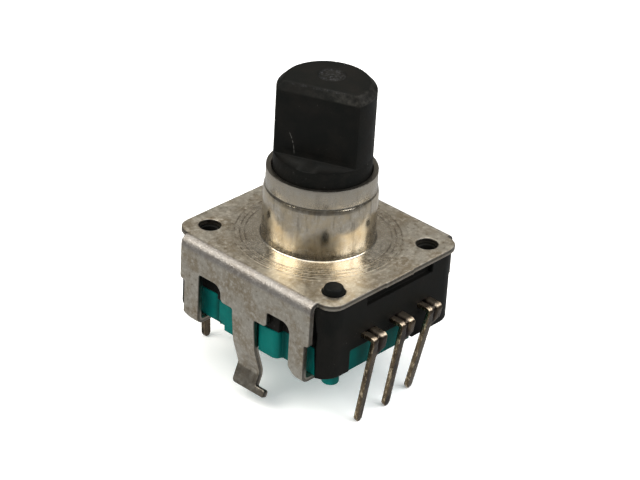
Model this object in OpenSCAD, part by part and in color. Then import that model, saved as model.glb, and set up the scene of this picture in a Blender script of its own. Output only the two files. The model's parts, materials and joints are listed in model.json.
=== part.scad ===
// Rotary encoder with a push switch, 12 mm class, plastic D shaft, for a circuit board.
// Z = 0 is the board's top face, the shaft's axis is Z, the skirts face -X and +X,
// the three encoder terminals leave towards -Y and the two switch terminals towards +Y.

/* [Cover] */
// Height of the plate's top face above the board
plate_top = 5.9; // [5.9:0.01:5.95]
// Thickness of the cover's steel sheet
sheet = 0.35; // [0.3:0.01:0.35]
// Width across the outsides of the two skirts
cover_w = 12.66; // [12.66:0.02:13]
// Depth of the plate along Y
cover_d = 13.2; // [13.2:0.1:13.6]
// Length of each skirt along Y
skirt_len = 10.84; // [10.4:0.02:10.9]
// Outer radius of the bend between plate and skirt
bend_r = 0.5; // [0.36:0.02:0.6]
// Radius of the plate's free corners
plate_corner_r = 1.0; // [0.6:0.1:1.2]
// Depth of the snap-in lugs below the board's top face
lug_depth = 2.48; // [2.4:0.02:2.6]

/* [Bushing] */
// Outer diameter of the drawn bushing
bushing_d = 7.0; // [7:0.05:7.4]
// Height of the bushing above the plate
bushing_h = 4.8; // [4:0.1:5]
// Diameter of the turned band at the bushing's mouth
rim_d = 6.68; // [6.6:0.02:6.68]
// Height of that band
rim_h = 1.2; // [0.8:0.05:1.3]
// Bore of the bushing, in which the shaft runs
bore_d = 6.1; // [6.06:0.02:6.16]

/* [Shaft] */
// Diameter of the shaft
shaft_d = 6.0; // [5.96:0.01:6]
// Height of the shaft's end above the plate
shaft_h = 10.5; // [9:0.1:20]
// Depth of the flat, measured from the round surface
flat_depth = 1.5; // [1:0.1:1.6]
// Length of the flat, from the shaft's end
flat_len = 4.7; // [3:0.1:5]
// Direction that the flat faces, anticlockwise from +X
flat_angle = 202.7; // [0:0.1:360]

/* [Action] */
// Clicks in one turn
detents = 24; // [12:12:24]
// Travel of the push switch
push_travel = 0.5; // [0.3:0.05:0.5]

/* [Terminals] */
// Distance between the encoder's terminals
pitch = 2.5; // [2.4:0.05:2.54]
// Length of every terminal below the board's top face
pin_depth = 3.4; // [3:0.02:3.6]
// Width of a terminal's pin
pin_w = 0.5; // [0.4:0.05:0.6]
// Thickness of the terminals' sheet
pin_t = 0.3; // [0.25:0.01:0.3]
// Lean of a straight terminal's pin towards the body, in degrees
pin_lean = 9; // [6:0.2:10]
// Lean of the bent terminal's pin
bent_lean = 12.4; // [6:0.2:14]

/* [Hidden] */
$fn = 96;

eps = 0.01;
steel = [0.60, 0.57, 0.51];
black = [0.09, 0.10, 0.10];
teal = [0.0, 0.42, 0.38];
tarnished = [0.45, 0.36, 0.22];
silver = [0.80, 0.80, 0.78];
natural = [0.88, 0.87, 0.82];
amber = [0.85, 0.62, 0.25];

// Cover
plate_under = plate_top - sheet;
skirt_x = cover_w / 2;
skirt_in = skirt_x - sheet;
free_x = skirt_x - 0.58;                 // the plate's edge beside the skirts' ends
rim_top = plate_top + bushing_h;
rim_step = 0.25;                         // height of the cone below the band at the mouth
fillet_out = 0.15;                       // outside, at the bushing's foot
fillet_in = 0.8;                         // inside, between bore and plate
apron_w = 0.7;                           // the shallow cone that drawing left round the foot
apron_h = 0.12;
hole_x = 4.14;
hole_y = 5.17;
hole_r = 0.7;
skirt_low = 2.95;                        // lower edge of the skirts' full-length part
leg_out = 5.05;                          // a leg's outer edge
leg_in = 3.8;                            // a leg's inner edge, also the window's
window_top = 3.82;
window_in = 1.95;
yoke_low = 2.78;                         // lower edge of the web that carries the lug
lug_half = 0.93;
foot_low = 0.25;                         // underside of the crimped feet
foot_reach = 1.3;                        // how far a foot reaches in under the base
lug_bend = [0, 2.4];                     // the lug's bends: how far in, and the height
lug_waist = [0.17, 0.55];
lug_knee = [0.73, -1.25];
lug_end = 0.23;                          // how far in the lug's lower end is
toe_out = 1.72;                          // end of the toe beside the lug
toe_h = 0.48;
tab_x = [-1.16, 1.34];                   // where the plate hung on its strip, -Y edge
tab_out = 0.05;

// Case and base
case_x = 5.9;
case_y = 6.4;
case_r = 1.4;
case_low = 2.5;                          // underside of the case's floor, top of the base
floor_top = 3.05;
chamber_r = 5.35;
wall_in = 5.87;                          // inner face of the case's hanging end walls
post_low = 0.7;
post_x = 5.53;                           // inner faces of the posts round the base's corners
post_y = 5.5;
boss_h = 0.36;                           // height of the bosses above the plate
boss_tip = 0.54;
pit_r = 0.5;
pit_z = 4.0;
recess_x = [-2.48, 3.37];                // recess under the plate's -Y edge
recess_low = 4.75;
recess_in = 0.35;
hollow_top = 3.9;                        // top of the hollows in the case's long sides
base_x = 5.5;
base_y = 5.85;
base_r = 0.4;
bulge_x = 5.95;
bulge_y = 2.6;
bulge_r = 0.45;
groove_half = 1.0;                       // the lug's groove in the bulge
groove_x = 5.7;
notch_y = 1.9;                           // notch in the bulge's lower corner
notch_top = 1.1;
base_low = 0.6;
gate_top = 2.15;                         // top of the gaps in the end walls
gate_y = 6.25;
gate_front = [-3.65, 1.85];              // the base's end blocks
gate_rear = [-3.65, 3.65];
gate_gap = 0.05;                         // room round them in the case
stand_x = 4.47;                          // stand-off feet, at two opposite corners
stand_y = 5.62;
stand_r = 0.53;

// Moving parts
flange_r = 4.6;
flange_top = plate_under - 0.11;
flange_low = 4.95;
drive_r = 2.0;
drive_flat = 1.5;
drive_low = 3.6;
tip_r = 1.5;
tip_low = 3.16;
rotor_r = 5.2;
rotor_low = 3.7;
web_top = 4.35;
lobe_top = 4.9;
lobe_in = 4.72;
run = 0.04;                              // running clearance
groove_r = 0.5;                          // radius of the grooves between the detent lobes
groove_z = lobe_top + 0.15;
spring_low = 5.25;
spring_t = 0.15;
ear_y = 5.75;
ear_half = 0.8;
hub_r = 2.7;
code_low = 3.55;
code_in = 2.75;
code_out = 4.75;

// Switch
dome_r = 2.9;
dome_h = 0.55;
dome_t = 0.08;
pocket_floor = 1.05;
ledge = 1.62;
film_r = 3.7;
film_t = 0.05;
film_hole_r = 1.0;
plunger_top = 3.15;
plunger_r = 1.7;
plunger_hole_r = 1.8;

// Terminals
strip_w = 1.22;
strip_low = 2.7;
strip_shift = 0.32;                      // strip's middle from the pitch line
pin_shift = -0.02;                       // pin's middle from the pitch line
front_out = 7.4;                         // outer face of the front terminals
rear_out = 7.1;
rear_low = 0.66;
rear_lean = 4;
rear_strip_shift = 0.2;
rear_pin_shift = -0.11;
pin_bend = 0.32;                         // outer radius of the terminals' bends
pin_tip = [0.12, 0.2];                   // taper of a pin's tip: each side's, and its length
strip_end = 4.0;                         // inner ends of the strips, from the axis
wiper_t = 0.12;
wiper_w = 0.8;
wiper_y = [-4.7, -2.87];
wiper_room = 0.15;
well_top = 4.0;

// Points of an arc, from angle a to angle b
function arc(cx, cy, r, a, b, n = 12) =
    [for (i = [0:n]) [cx + r * cos(a + (b - a) * i / n), cy + r * sin(a + (b - a) * i / n)]];

// Rectangle of half sizes hx and hy with round corners, as an outline
module rounded(hx, hy, r) {
    polygon(concat(
        arc(hx - r, hy - r, r, 0, 90), arc(-hx + r, hy - r, r, 90, 180),
        arc(-hx + r, -hy + r, r, 180, 270), arc(hx - r, -hy + r, r, 270, 360)));
}

// A box from low corner to high corner
module block(lo, hi) {
    translate(lo) cube(hi - lo);
}

// An outline in Y and Z, given thickness along X from x0
module along_x(x0, t) {
    translate([x0, 0, 0]) rotate([90, 0, 90]) linear_extrude(t) children();
}

// An outline in X and Z, given length along Y from y0
module along_y(y0, t) {
    translate([0, y0 + t, 0]) rotate([90, 0, 0]) linear_extrude(t) children();
}

// Everything that repeats on the skirts' two sides
module both_sides() {
    children();
    mirror([1, 0, 0]) children();
}

// ---- cover: plate, drawn bushing and two skirts from one sheet ----

module bushing_profile() {
    outer = bushing_d / 2;
    inner = bore_d / 2;
    rotate_extrude() polygon(concat(
        [[inner, rim_top], [inner, plate_under + fillet_in]],
        arc(inner + fillet_in, plate_under + fillet_in, fillet_in, 180, 270),
        [[outer + apron_w + 0.2, plate_under], [outer + apron_w + 0.2, plate_top],
         [outer + apron_w, plate_top]],
        arc(outer + fillet_out, plate_top + apron_h + fillet_out, fillet_out, 270, 180),
        [[outer, rim_top - rim_h - rim_step], [rim_d / 2, rim_top - rim_h], [rim_d / 2, rim_top]]));
}

module plate() {
    difference() {
        translate([0, 0, plate_under]) linear_extrude(sheet) union() {
            rounded(free_x, cover_d / 2, plate_corner_r);
            square([2 * (skirt_x - bend_r), skirt_len], center = true);
            translate([tab_x[0], -cover_d / 2 - tab_out]) square([tab_x[1] - tab_x[0], 1]);
        }
        translate([0, 0, plate_under - 1]) cylinder(r = bushing_d / 2 + apron_w + 0.1, h = 3);
        for (x = [-hole_x, hole_x], y = [-hole_y, hole_y])
            translate([x, y, plate_under - 1]) cylinder(r = hole_r, h = 3);
    }
}

// The bend and the skirt's upper part, seen along Y
module skirt_section() {
    polygon(concat(
        [[-skirt_x + bend_r + eps, plate_top], [-skirt_x + bend_r, plate_top]],
        arc(-skirt_x + bend_r, plate_top - bend_r, bend_r, 90, 180),
        [[-skirt_x, foot_low + sheet], [-skirt_in, foot_low + sheet]],
        arc(-skirt_x + bend_r, plate_top - bend_r, bend_r - sheet, 180, 90),
        [[-skirt_x + bend_r + eps, plate_under]]));
}

// The skirt's outline, seen along X
module skirt_outline() {
    corner = 0.2;
    half = skirt_len / 2;
    difference() {
        union() {
            translate([-half, skirt_low]) square([skirt_len, plate_top + 1 - skirt_low]);
            translate([-leg_out, 0]) square([2 * leg_out, skirt_low + 1]);
        }
        for (side = [-1, 1]) scale([side, 1]) polygon(concat(
            [[lug_half, -1], [lug_half, yoke_low], [window_in - corner, yoke_low]],
            arc(window_in - corner, yoke_low + corner, corner, 270, 360, 6),
            [[window_in, window_top]],
            arc(leg_in - corner, window_top - corner, corner, 90, 0, 6),
            [[leg_in, -1]]));
        translate([-lug_half, -1]) square([2 * lug_half, lug_bend[1] + 1]);
    }
}

// A leg's end, crimped in under the base
module foot(y0) {
    along_y(y0, leg_out - leg_in) polygon(concat(
        arc(-skirt_x + bend_r, foot_low + bend_r, bend_r, 180, 270),
        [[-skirt_x + foot_reach, foot_low], [-skirt_x + foot_reach, foot_low + sheet]],
        arc(-skirt_x + bend_r, foot_low + bend_r, bend_r - sheet, 270, 180),
        [[-skirt_in, foot_low + bend_r + eps], [-skirt_x, foot_low + bend_r + eps]]));
}

// The lug leans in to a knee under the board, then out again to hold it
module lug() {
    knees = [lug_bend + [0, eps], lug_bend, lug_waist, lug_knee, [lug_end, -lug_depth]];
    along_y(-lug_half, 2 * lug_half) polygon(concat(
        [for (p = knees) [-skirt_x + p[0], p[1]]],
        [for (i = [len(knees) - 1:-1:0]) [-skirt_in + knees[i][0], knees[i][1]]]));
    slope = (lug_knee[0] - lug_end) / (lug_depth + lug_knee[1]);
    low = [-skirt_x + lug_end, -lug_depth];
    high = low + toe_h * [slope, 1];
    along_y(-toe_out, toe_out - lug_half + eps)
        polygon([low, low + [sheet, 0], high + [sheet, 0], high]);
}

module skirt() {
    intersection() {
        along_y(-skirt_len / 2, skirt_len) skirt_section();
        along_x(-skirt_x - 1, bend_r + 2) skirt_outline();
    }
    foot(leg_in);
    foot(-leg_out);
    lug();
}

module cover() {
    color(steel) {
        bushing_profile();
        plate();
        both_sides() skirt();
    }
}

// ---- case: the black housing that the rotor turns in ----

module case_outline() {
    rounded(case_x, case_y, case_r);
}

// One terminal's strip, as the space it fills in the moulding
module strip(x, y0, y1, z) {
    block([x + strip_shift - strip_w / 2, y0, z], [x + strip_shift + strip_w / 2, y1, z + pin_t]);
}

module case_shell() {
    translate([0, 0, case_low]) linear_extrude(plate_under - case_low) case_outline();
    intersection() {
        translate([0, 0, post_low]) linear_extrude(case_low - post_low + eps) case_outline();
        for (x = [-1, 1], y = [-1, 1]) scale([x, y, 1]) {
            block([-eps, wall_in, post_low], [case_x, case_y, case_low + eps]);
            block([post_x, post_y, post_low], [case_x, case_y, case_low + eps]);
        }
    }
}

// The case's bosses stand through two of the plate's holes, and the other two are open
module case() {
    well = wiper_w / 2 + wiper_room;
    color(black) {
        difference() {
            case_shell();
            translate([0, 0, floor_top]) cylinder(r = chamber_r, h = 5);
            cylinder(r = plunger_hole_r, h = 5);
            block([recess_x[0], -case_y - 1, recess_low],
                  [recess_x[1], -case_y + recess_in, plate_under + 1]);
            // gaps in the end walls, for the base's end blocks
            block([gate_front[0] - gate_gap, -case_y - 1, 0], [gate_front[1] + gate_gap, -wall_in + 1, gate_top]);
            block([gate_rear[0] - gate_gap, wall_in - 1, 0], [gate_rear[1] + gate_gap, case_y + 1, gate_top]);
            // hollows in the long sides, behind the legs
            for (x = [-1, 1], y = [-1, 1]) scale([x, y, 1])
                block([base_x, bulge_y, 0], [case_x + 1, post_y, hollow_top]);
            // slots for the strips, and wells for the wipers
            for (i = [-1:1]) {
                strip(i * pitch, -case_y - 1, -strip_end, strip_low);
                block([i * pitch - well, wiper_y[0] - eps, strip_low + pin_t],
                      [i * pitch + well, wiper_y[1] + eps, well_top]);
            }
            // slots for the click spring's ears
            for (side = [-1, 1]) scale([1, side, 1])
                block([-ear_half, 0, spring_low], [ear_half, ear_y, plate_under + 1]);
            for (side = [-1, 1])
                translate([side * hole_x, -side * hole_y, pit_z]) cylinder(r = pit_r, h = 5);
        }
        for (side = [-1, 1]) translate([side * hole_x, side * hole_y, plate_under]) {
            cylinder(r = hole_r - eps, h = sheet);
            translate([0, 0, sheet]) cylinder(r1 = hole_r - eps, r2 = boss_tip, h = boss_h);
        }
    }
}

// ---- base: the teal floor that holds the push switch ----

// Grooves behind the lugs, and a notch in one lower corner of each bulge
module bulge_cuts() {
    for (turn = [0, 180]) rotate([0, 0, turn]) {
        block([-bulge_x - 1, -groove_half, 0], [-groove_x, groove_half, case_low + 1]);
        block([-bulge_x - 1, notch_y, 0], [-base_x, bulge_y + 1, notch_top]);
    }
}

module base() {
    color(teal) difference() {
        union() {
            translate([0, 0, base_low]) linear_extrude(case_low - base_low) union() {
                rounded(base_x, base_y, base_r);
                rounded(bulge_x, bulge_y, bulge_r);
            }
            block([gate_front[0], -gate_y, base_low], [gate_front[1], -base_y + 1, gate_top]);
            block([gate_rear[0], base_y - 1, base_low], [gate_rear[1], gate_y, gate_top]);
            for (side = [-1, 1])
                translate([side * stand_x, side * stand_y, 0]) cylinder(r = stand_r, h = base_low + 0.05);
        }
        translate([0, 0, pocket_floor]) cylinder(r = dome_r + 0.2, h = 5);
        translate([0, 0, ledge]) cylinder(r = film_r + run, h = 5);
        bulge_cuts();
        switch_terminal_centre_body();
        switch_terminal_rim_body();
    }
}

// ---- shaft ----

module double_d(r, flat, z0, z1) {
    intersection() {
        translate([0, 0, z0]) cylinder(r = r, h = z1 - z0);
        block([-r - 1, -flat, z0], [r + 1, flat, z1]);
    }
}

module shaft() {
    r = shaft_d / 2;
    top = plate_top + shaft_h;
    chamfer = 0.45;
    flat_chamfer_h = 0.6;
    flat_chamfer_w = 0.36;
    flat_low = top - flat_len;
    dimple_r = 0.9;
    dimple_h = 0.12;
    color(black) difference() {
        union() {
            rotate_extrude() polygon([
                [0, tip_low], [tip_r, tip_low], [tip_r, flange_low], [flange_r, flange_low],
                [flange_r, flange_top], [r, flange_top], [r, top - chamfer], [r - chamfer, top],
                [0, top]]);
            double_d(drive_r, drive_flat, drive_low, flange_low + 0.1);
        }
        rotate([0, 0, flat_angle]) along_y(-r - 1, 2 * r + 2) polygon([
            [r - flat_depth, flat_low], [r - flat_depth, top - flat_chamfer_h],
            [r - flat_depth - flat_chamfer_w, top + eps], [r + 1, top + eps], [r + 1, flat_low]]);
        // the moulding gate's dimple, in the middle of the D
        rotate([0, 0, flat_angle]) translate([-flat_depth / 2, 0, top - dimple_h])
            cylinder(r = dimple_r, h = 1);
    }
}

module slide_washer() {
    color(natural) difference() {
        translate([0, 0, flange_top + eps]) cylinder(r = flange_r - 0.05, h = plate_under - flange_top - eps);
        cylinder(r = shaft_d / 2 + 0.1, h = 20);
    }
}

// ---- detent ----

module ring(r_in, r_out, z0, z1) {
    translate([0, 0, z0]) difference() {
        cylinder(r = r_out, h = z1 - z0);
        translate([0, 0, -1]) cylinder(r = r_in, h = z1 - z0 + 2);
    }
}

module click_spring() {
    ring_in = lobe_in;
    ring_out = chamber_r - 0.07;
    bump_r = groove_r - 0.03;
    slot_half = 0.42;
    color(silver) {
        difference() {
            union() {
                ring(ring_in, ring_out, spring_low, spring_low + spring_t);
                for (side = [-1, 1]) scale([1, side, 1])
                    block([-ear_half, ring_in + 0.3, spring_low], [ear_half, ear_y, spring_low + spring_t]);
            }
            block([-10, -slot_half, 0], [10, slot_half, 10]);
        }
        // the two bumps that drop between the rotor's lobes
        intersection() {
            ring(ring_in, ring_out, 4, spring_low + spring_t);
            for (turn = [0, 180]) rotate([0, 0, turn]) translate([4, 0, groove_z]) rotate([0, 90, 0])
                difference() {
                    cylinder(r = bump_r, h = 2);
                    translate([0, 0, -1]) cylinder(r = bump_r - spring_t, h = 4);
                }
        }
    }
}

// ---- rotor ----

module rotor() {
    color(natural) difference() {
        union() {
            translate([0, 0, rotor_low]) cylinder(r = rotor_r, h = web_top - rotor_low);
            translate([0, 0, floor_top + 0.11]) cylinder(r = hub_r, h = 1);
            ring(lobe_in, rotor_r, web_top - eps, lobe_top);
        }
        double_d(drive_r + run, drive_flat + run, 0, 10);
        cylinder(r = plunger_hole_r, h = drive_low - 0.1);
        for (i = [0:detents - 1]) rotate([0, 0, i * 360 / detents])
            translate([4, 0, groove_z]) rotate([0, 90, 0]) cylinder(r = groove_r, h = 2, $fn = 32);
    }
}

module code_plate() {
    slot_in = 3.65;
    slot_len = 0.8;
    slot_w = 0.53;
    color(silver) difference() {
        ring(code_in, code_out, code_low, rotor_low);
        for (i = [0:detents - 1]) rotate([0, 0, (i + 0.5) * 360 / detents])
            block([slot_in, -slot_w / 2, 0], [slot_in + slot_len, slot_w / 2, 10]);
    }
}

// Low-friction ring between the rotor's hub and the case's floor
module rotor_washer() {
    color(natural) ring(drive_r + 0.1, hub_r - 0.05, floor_top, floor_top + 0.1);
}

// ---- terminals and wipers ----

// Outline of a shoulder that tapers into a pin, hanging from height 0
module pin_outline(px, shoulder_end, straight, taper, reach) {
    left = px - pin_w / 2;
    right = px + pin_w / 2;
    polygon([[left, 0.05], [shoulder_end, 0.05], [shoulder_end, -straight], [right, -taper],
             [right, -reach + pin_tip[1]], [right - pin_tip[0], -reach],
             [left + pin_tip[0], -reach], [left, -reach + pin_tip[1]]]);
}

// A front terminal: strip in the moulding, bend, shoulder and leaning pin
module front_terminal(x, lean) {
    cx = x + strip_shift;
    top = strip_low + pin_t;
    reach = (top - pin_bend + pin_depth) / cos(lean);
    color(tarnished) {
        strip(x, -front_out + pin_bend, -strip_end, strip_low);
        // the bend, over the strip's whole width
        along_x(cx - strip_w / 2, strip_w) polygon(concat(
            arc(-front_out + pin_bend, top - pin_bend, pin_bend, 90, 180),
            arc(-front_out + pin_bend, top - pin_bend, pin_bend - pin_t, 180, 90)));
        translate([0, -front_out, top - pin_bend]) rotate([lean, 0, 0])
            translate([0, pin_t, 0]) rotate([90, 0, 0]) linear_extrude(pin_t)
                pin_outline(x + pin_shift, cx + strip_w / 2, 0.55, 0.95, reach);
    }
}

module terminal_a() { front_terminal(-pitch, pin_lean); }
module terminal_c() { front_terminal(0, pin_lean); }
module terminal_b() { front_terminal(pitch, bent_lean); }

// A sprung finger that rises from a strip's inner end to the code plate
module wiper(x) {
    foot_z = strip_low + pin_t;
    tip_z = code_low - 0.02;
    color(silver) along_x(x - wiper_w / 2, wiper_w) polygon([
        [wiper_y[0], foot_z], [-4.1, foot_z], [-3.25, tip_z - wiper_t - 0.04], [-3.1, tip_z - wiper_t],
        [-2.95, tip_z - wiper_t - 0.12], [wiper_y[1], tip_z - wiper_t - 0.04], [-3.04, tip_z], [-3.2, tip_z],
        [-3.35, tip_z - 0.08], [-4.13, foot_z + wiper_t], [wiper_y[0], foot_z + wiper_t]]);
}

module wiper_a() { wiper(-pitch); }
module wiper_c() { wiper(0); }
module wiper_b() { wiper(pitch); }

// ---- push switch ----

// A rear terminal's outer half: strip, bend and pin
module rear_pin(x, y_in) {
    cx = x + rear_strip_shift;
    top = rear_low + pin_t;
    reach = (top - pin_bend + pin_depth) / cos(rear_lean);
    block([cx - strip_w / 2, y_in, rear_low], [cx + strip_w / 2, rear_out - pin_bend, top]);
    along_x(cx - strip_w / 2, strip_w) polygon(concat(
        arc(rear_out - pin_bend, top - pin_bend, pin_bend, 90, 0),
        arc(rear_out - pin_bend, top - pin_bend, pin_bend - pin_t, 0, 90)));
    translate([0, rear_out, top - pin_bend]) rotate([-rear_lean, 0, 0]) rotate([90, 0, 0])
        linear_extrude(pin_t) pin_outline(x + rear_pin_shift, cx + strip_w / 2, 0.15, 0.45, reach);
}

module switch_terminal_centre_body() {
    centre_half = 0.4;
    centre_r = 0.7;
    rivet_r = 0.45;
    rear_pin(-pitch, centre_half);
    block([-pitch + rear_strip_shift - strip_w / 2, -centre_half, rear_low],
          [0, centre_half + eps, rear_low + pin_t]);
    translate([0, 0, rear_low]) cylinder(r = centre_r, h = pin_t);
    translate([0, 0, rear_low]) cylinder(r = rivet_r, h = pocket_floor + 0.03 - rear_low);
}

module switch_terminal_rim_body() {
    rivet_r = 0.3;
    rear_pin(pitch, -0.4);
    translate([dome_r - 0.15, 0, rear_low]) cylinder(r = rivet_r, h = pocket_floor - rear_low);
}

module switch_terminal_centre() {
    color(tarnished) switch_terminal_centre_body();
}

module switch_terminal_rim() {
    color(tarnished) switch_terminal_rim_body();
}

module snap_dome() {
    rise = dome_h - dome_t;
    sphere_r = (pow(dome_r, 2) + pow(rise, 2)) / (2 * rise);
    edge = 90 - asin(dome_r / sphere_r);
    cz = pocket_floor + rise - sphere_r;
    color(silver) rotate_extrude() polygon(concat(
        [[0, cz + sphere_r]], arc(0, cz, sphere_r, 89, edge, 14),
        arc(0, cz, sphere_r + dome_t, edge, 89, 14), [[0, cz + sphere_r + dome_t]]));
}

// Film that holds the dome down by its rim
module dome_film() {
    color(amber) ring(film_hole_r, film_r, ledge, ledge + film_t);
}

module plunger() {
    neck = 2.2;
    collar_r = 2.4;
    collar_h = 0.25;
    nose_r = 0.8;
    color(natural) {
        translate([0, 0, ledge]) cylinder(r = nose_r, h = neck - ledge + eps);
        translate([0, 0, neck]) cylinder(r = collar_r, h = collar_h);
        translate([0, 0, neck + collar_h - eps]) cylinder(r = plunger_r, h = plunger_top - neck - collar_h + eps);
    }
}

cover();
case();
base();
shaft();
slide_washer();
click_spring();
rotor();
code_plate();
rotor_washer();
terminal_a();
terminal_c();
terminal_b();
wiper_a();
wiper_c();
wiper_b();
switch_terminal_centre();
switch_terminal_rim();
snap_dome();
dome_film();
plunger();
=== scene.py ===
"""Rotary encoder with a push switch: the visual model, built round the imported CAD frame.

Lengths are in millimetres until a mesh is made, and positions come from the CAD nodes' boxes.
"""
import json
import math

import bmesh
import bpy
import numpy as np
from mathutils import Matrix, Vector
from mathutils.geometry import delaunay_2d_cdt


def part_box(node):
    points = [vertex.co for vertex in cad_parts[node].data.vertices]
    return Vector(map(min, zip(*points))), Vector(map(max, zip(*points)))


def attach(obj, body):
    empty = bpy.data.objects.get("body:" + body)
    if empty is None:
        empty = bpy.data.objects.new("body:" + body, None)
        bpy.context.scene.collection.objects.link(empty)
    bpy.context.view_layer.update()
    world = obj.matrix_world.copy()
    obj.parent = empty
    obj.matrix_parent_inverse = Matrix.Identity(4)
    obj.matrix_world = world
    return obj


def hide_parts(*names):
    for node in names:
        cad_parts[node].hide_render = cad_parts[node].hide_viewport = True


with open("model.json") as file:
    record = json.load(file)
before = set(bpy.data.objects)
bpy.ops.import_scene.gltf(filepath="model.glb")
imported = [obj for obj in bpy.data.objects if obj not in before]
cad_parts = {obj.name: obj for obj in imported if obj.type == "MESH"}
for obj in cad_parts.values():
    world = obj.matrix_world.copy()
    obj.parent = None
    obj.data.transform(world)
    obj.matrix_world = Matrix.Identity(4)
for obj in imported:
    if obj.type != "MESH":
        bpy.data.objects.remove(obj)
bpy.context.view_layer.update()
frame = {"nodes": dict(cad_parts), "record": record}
MM = 0.001


# ---------------------------------------------------------------- measures from the frame

def box_mm(node):
    low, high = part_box(node)
    return low / MM, high / MM


COVER_LOW, COVER_HIGH = box_mm("cover")
CASE_LOW, CASE_HIGH = box_mm("case")
BASE_LOW, BASE_HIGH = box_mm("base")
SHAFT_LOW, SHAFT_HIGH = box_mm("shaft")
WASHER_HIGH = box_mm("slide_washer")[1]

SHEET = 0.35                       # the cover's thickness
SKIRT_X = COVER_HIGH.x
PLATE_Y = COVER_HIGH.y
RIM_TOP = COVER_HIGH.z
LUG_LOW = COVER_LOW.z
PLATE_UNDER = WASHER_HIGH.z
PLATE_TOP = PLATE_UNDER + SHEET
BEND_R = 0.5
FREE_X = SKIRT_X - 0.58            # where the plate's front and back edges run free of the bends
HOLE_X, HOLE_Y, HOLE_R = 4.14, 5.17, 0.7
FOOT_LOW = 0.25
PIN_LOW = min(box_mm(n)[0].z for n in ("terminal_a", "terminal_c", "terminal_b"))


# ---------------------------------------------------------------- outlines

def arc(cx, cy, r, start, end, n=8):
    """Points of an arc, with its angles in degrees."""
    turn = np.radians(np.linspace(start, end, n + 1))
    return [(cx + r * math.cos(a), cy + r * math.sin(a)) for a in turn]


def rounded(points, n=5):
    """An outline from corners (x, y, radius), each corner rounded by its radius."""
    out = []
    count = len(points)
    for i, (x, y, r) in enumerate(points):
        here = Vector((x, y))
        before = (Vector(points[i - 1][:2]) - here).normalized()
        after = (Vector(points[(i + 1) % count][:2]) - here).normalized()
        if r <= 0:
            out.append((x, y))
            continue
        half = before.angle(after) / 2
        back = r / math.tan(half)
        middle = here + (before + after).normalized() * (r / math.sin(half))
        start, end = here + before * back - middle, here + after * back - middle
        sweep = start.angle_signed(end)
        for k in range(n + 1):
            turned = start.copy()
            turned.rotate(Matrix.Rotation(-sweep * k / n, 2))
            out.append(tuple(middle + turned))
    return out


def rectangle(hx, hy, r):
    return rounded([(-hx, -hy, r), (hx, -hy, r), (hx, hy, r), (-hx, hy, r)], 8)


def densified(loop, step):
    """The closed outline with no edge longer than step."""
    out = []
    for a, b in zip(loop, loop[1:] + loop[:1]):
        parts = max(1, math.ceil(math.dist(a, b) / step))
        out += [(a[0] + (b[0] - a[0]) * k / parts, a[1] + (b[1] - a[1]) * k / parts) for k in range(parts)]
    return np.array(out)


def inset(loop, d):
    """The outline moved by d to its left, which is the material's side."""
    ahead = np.roll(loop, -1, 0) - loop
    ahead /= np.linalg.norm(ahead, axis=1)[:, None]
    left = np.stack([-ahead[:, 1], ahead[:, 0]], 1)
    before = np.roll(left, 1, 0)
    dot = np.clip((left * before).sum(1), -0.7, 1)
    return loop + d * (left + before) / (1 + dot)[:, None]


def clear_inside(points, loops, gap):
    """Which points lie inside the loops, by the even-odd rule, and further than gap from them."""
    a = np.concatenate(loops)
    b = np.concatenate([np.roll(loop, -1, 0) for loop in loops])
    keep = []
    for p in points:
        cross = (a[:, 1] > p[1]) != (b[:, 1] > p[1])
        rise = np.where(cross, b[:, 1] - a[:, 1], 1)
        hit = cross & (p[0] < a[:, 0] + (p[1] - a[:, 1]) * (b[:, 0] - a[:, 0]) / rise)
        if hit.sum() % 2 and np.min(np.hypot(a[:, 0] - p[0], a[:, 1] - p[1])) > gap:
            keep.append(p)
    return np.array(keep).reshape(-1, 2)


# ---------------------------------------------------------------- meshes

def to_object(name, bm):
    """A smooth-shaded object from a bmesh in millimetres."""
    bmesh.ops.recalc_face_normals(bm, faces=bm.faces)
    bmesh.ops.scale(bm, vec=(MM, MM, MM), verts=bm.verts)
    mesh = bpy.data.meshes.new(name)
    bm.to_mesh(mesh)
    bm.free()
    mesh.shade_smooth()
    obj = bpy.data.objects.new(name, mesh)
    bpy.context.scene.collection.objects.link(obj)
    return obj


def from_arrays(verts, faces, shear=None):
    """A bmesh of the points and faces. shear holds a mark for each point: see sheet_mesh."""
    bm = bmesh.new()
    layer = bm.verts.layers.float.new("sheared")
    made = [bm.verts.new(v) for v in verts]
    if shear is not None:
        for vert, value in zip(made, shear):
            vert[layer] = value
    for face in faces:
        bm.faces.new([made[i] for i in face])
    return bm


def even_normals(obj):
    """Shading by face area, so that the small edge roundings don't tint the flats."""
    weighted = obj.modifiers.new("normals", "WEIGHTED_NORMAL")
    weighted.keep_sharp = False
    weighted.weight = 90
    return obj


# a punched edge is sheared down to the first share of its depth, and broken from the second
SHEARED_TO, BROKEN_FROM = 0.5, 0.58


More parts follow.
